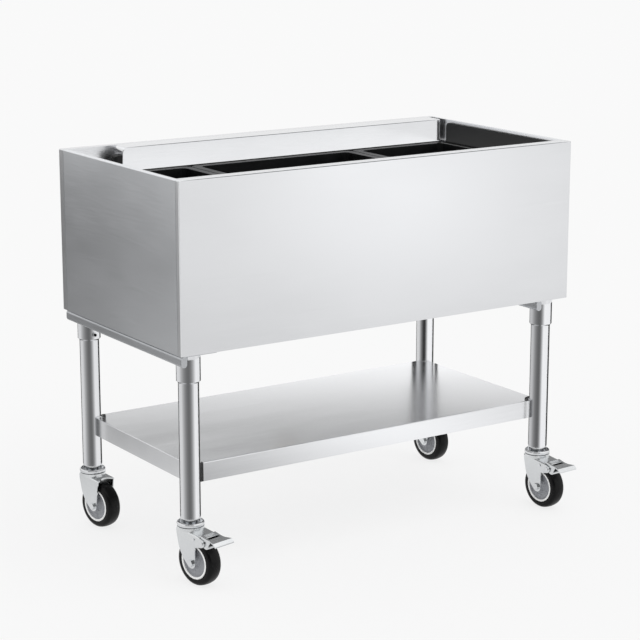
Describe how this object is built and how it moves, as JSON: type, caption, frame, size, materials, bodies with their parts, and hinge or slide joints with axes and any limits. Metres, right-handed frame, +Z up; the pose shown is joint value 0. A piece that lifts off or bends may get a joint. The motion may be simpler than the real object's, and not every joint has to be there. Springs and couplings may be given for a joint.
{
  "type": "cooler cart",
  "caption": "Rolling insulated ice bin of brushed steel with lift-out ice tub and bottle bins, on tube legs with an undershelf, a drain valve and swivel castors with brakes in front.",
  "frame": {"origin": "on the floor, below the middle of the overall box", "axes": "+X to the right along the bin's length, -Y to the front where the brake pedals are, +Z up"},
  "size_m": [0.965, 0.5662, 0.818],
  "materials": {
    "panel_steel": "satin",
    "tube_steel": "polished",
    "foam": "matte",
    "black_plastic": "satin",
    "bumper_rubber": "matte",
    "plated_brass": "satin",
    "lever_paint": "satin",
    "castor_zinc": "satin",
    "wheel_plastic": "satin",
    "tyre_rubber": "matte"
  },
  "bodies": {
    "cart": {"front_panel": "panel_steel", "left_side_panel": "panel_steel", "right_side_panel": "panel_steel", "back_panel": "panel_steel", "base_pan": "panel_steel", "well_liner": "panel_steel", "insulation": "foam", "rear_ledge": "panel_steel", "ledge_bumper": "bumper_rubber", "drain_fitting": "plated_brass", "drain_nut": "plated_brass", "drain_valve_body": "plated_brass", "left_leg_rail": "panel_steel", "right_leg_rail": "panel_steel", "set_screws": "tube_steel", "undershelf": "panel_steel", "shelf_stiffener": "panel_steel", "front_left_leg_socket": "tube_steel", "front_left_leg": "tube_steel", "front_left_leg_plug": "castor_zinc", "front_left_swivel_head": "castor_zinc", "front_right_leg_socket": "tube_steel", "front_right_leg": "tube_steel", "front_right_leg_plug": "castor_zinc", "front_right_swivel_head": "castor_zinc", "rear_left_leg_socket": "tube_steel", "rear_left_leg": "tube_steel", "rear_left_leg_plug": "castor_zinc", "rear_left_swivel_head": "castor_zinc", "rear_right_leg_socket": "tube_steel", "rear_right_leg": "tube_steel", "rear_right_leg_plug": "castor_zinc", "rear_right_swivel_head": "castor_zinc"},
    "left_bin": {"left_bottle_bin": "black_plastic"},
    "right_bin": {"right_bottle_bin": "black_plastic"},
    "tub": {"ice_tub": "black_plastic"},
    "strainer_plate": {"false_bottom": "panel_steel"},
    "drain_handle": {"drain_valve_lever": "lever_paint", "drain_valve_ball": "plated_brass"},
    "front_left_castor": {"front_left_fork": "castor_zinc", "front_left_axle": "castor_zinc", "front_left_brake_pins": "castor_zinc"},
    "front_left_wheel": {"front_left_wheel_core": "wheel_plastic", "front_left_tyre": "tyre_rubber"},
    "front_left_pedal": {"front_left_brake_pedal": "castor_zinc"},
    "front_right_castor": {"front_right_fork": "castor_zinc", "front_right_axle": "castor_zinc", "front_right_brake_pins": "castor_zinc"},
    "front_right_wheel": {"front_right_wheel_core": "wheel_plastic", "front_right_tyre": "tyre_rubber"},
    "front_right_pedal": {"front_right_brake_pedal": "castor_zinc"},
    "rear_left_castor": {"rear_left_fork": "castor_zinc", "rear_left_axle": "castor_zinc"},
    "rear_left_wheel": {"rear_left_wheel_core": "wheel_plastic", "rear_left_tyre": "tyre_rubber"},
    "rear_right_castor": {"rear_right_fork": "castor_zinc", "rear_right_axle": "castor_zinc"},
    "rear_right_wheel": {"rear_right_wheel_core": "wheel_plastic", "rear_right_tyre": "tyre_rubber"}
  },
  "joints": [
    {"name": "left_bin_lift", "type": "slide", "parent": "cart", "child": "left_bin", "axis": [0, 0, 1], "range_m": [0, 0.33]},
    {"name": "right_bin_lift", "type": "slide", "parent": "cart", "child": "right_bin", "axis": [0, 0, 1], "range_m": [0, 0.33]},
    {"name": "tub_lift", "type": "slide", "parent": "cart", "child": "tub", "axis": [0, 0, 1], "range_m": [0, 0.33]},
    {"name": "plate_lift", "type": "slide", "parent": "tub", "child": "strainer_plate", "axis": [0, 0, 1], "range_m": [0, 0.33]},
    {"name": "drain_turn", "type": "hinge", "parent": "cart", "child": "drain_handle", "pos_m": [0, 0.1521, 0.424], "axis": [0, 1, 0], "range_deg": [0, 90]},
    {"name": "front_left_swivel", "type": "hinge", "parent": "cart", "child": "front_left_castor", "pos_m": [-0.444, -0.1819, 0.112], "axis": [0, 0, 1], "continuous": true},
    {"name": "front_left_roll", "type": "hinge", "parent": "front_left_castor", "child": "front_left_wheel", "pos_m": [-0.43859, -0.20631, 0.05], "axis": [0.9763, 0.2164, 0], "continuous": true},
    {"name": "front_left_brake", "type": "hinge", "parent": "front_left_castor", "child": "front_left_pedal", "pos_m": [-0.4322, -0.23511, 0.0965], "axis": [0.9763, 0.2164, 0], "range_deg": [0, 12]},
    {"name": "front_right_swivel", "type": "hinge", "parent": "cart", "child": "front_right_castor", "pos_m": [0.444, -0.1819, 0.112], "axis": [0, 0, 1], "continuous": true},
    {"name": "front_right_roll", "type": "hinge", "parent": "front_right_castor", "child": "front_right_wheel", "pos_m": [0.44596, -0.20683, 0.05], "axis": [0.9969, 0.0785, 0], "continuous": true},
    {"name": "front_right_brake", "type": "hinge", "parent": "front_right_castor", "child": "front_right_pedal", "pos_m": [0.44828, -0.23623, 0.0965], "axis": [0.9969, 0.0785, 0], "range_deg": [0, 12]},
    {"name": "rear_left_swivel", "type": "hinge", "parent": "cart", "child": "rear_left_castor", "pos_m": [-0.444, 0.2421, 0.112], "axis": [0, 0, 1], "continuous": true},
    {"name": "rear_left_roll", "type": "hinge", "parent": "rear_left_castor", "child": "rear_left_wheel", "pos_m": [-0.43859, 0.21769, 0.05], "axis": [0.9763, 0.2164, 0], "continuous": true},
    {"name": "rear_right_swivel", "type": "hinge", "parent": "cart", "child": "rear_right_castor", "pos_m": [0.444, 0.2421, 0.112], "axis": [0, 0, 1], "continuous": true},
    {"name": "rear_right_roll", "type": "hinge", "parent": "rear_right_castor", "child": "rear_right_wheel", "pos_m": [0.44661, 0.21724, 0.05], "axis": [0.9945, 0.1045, 0], "continuous": true}
  ]
}
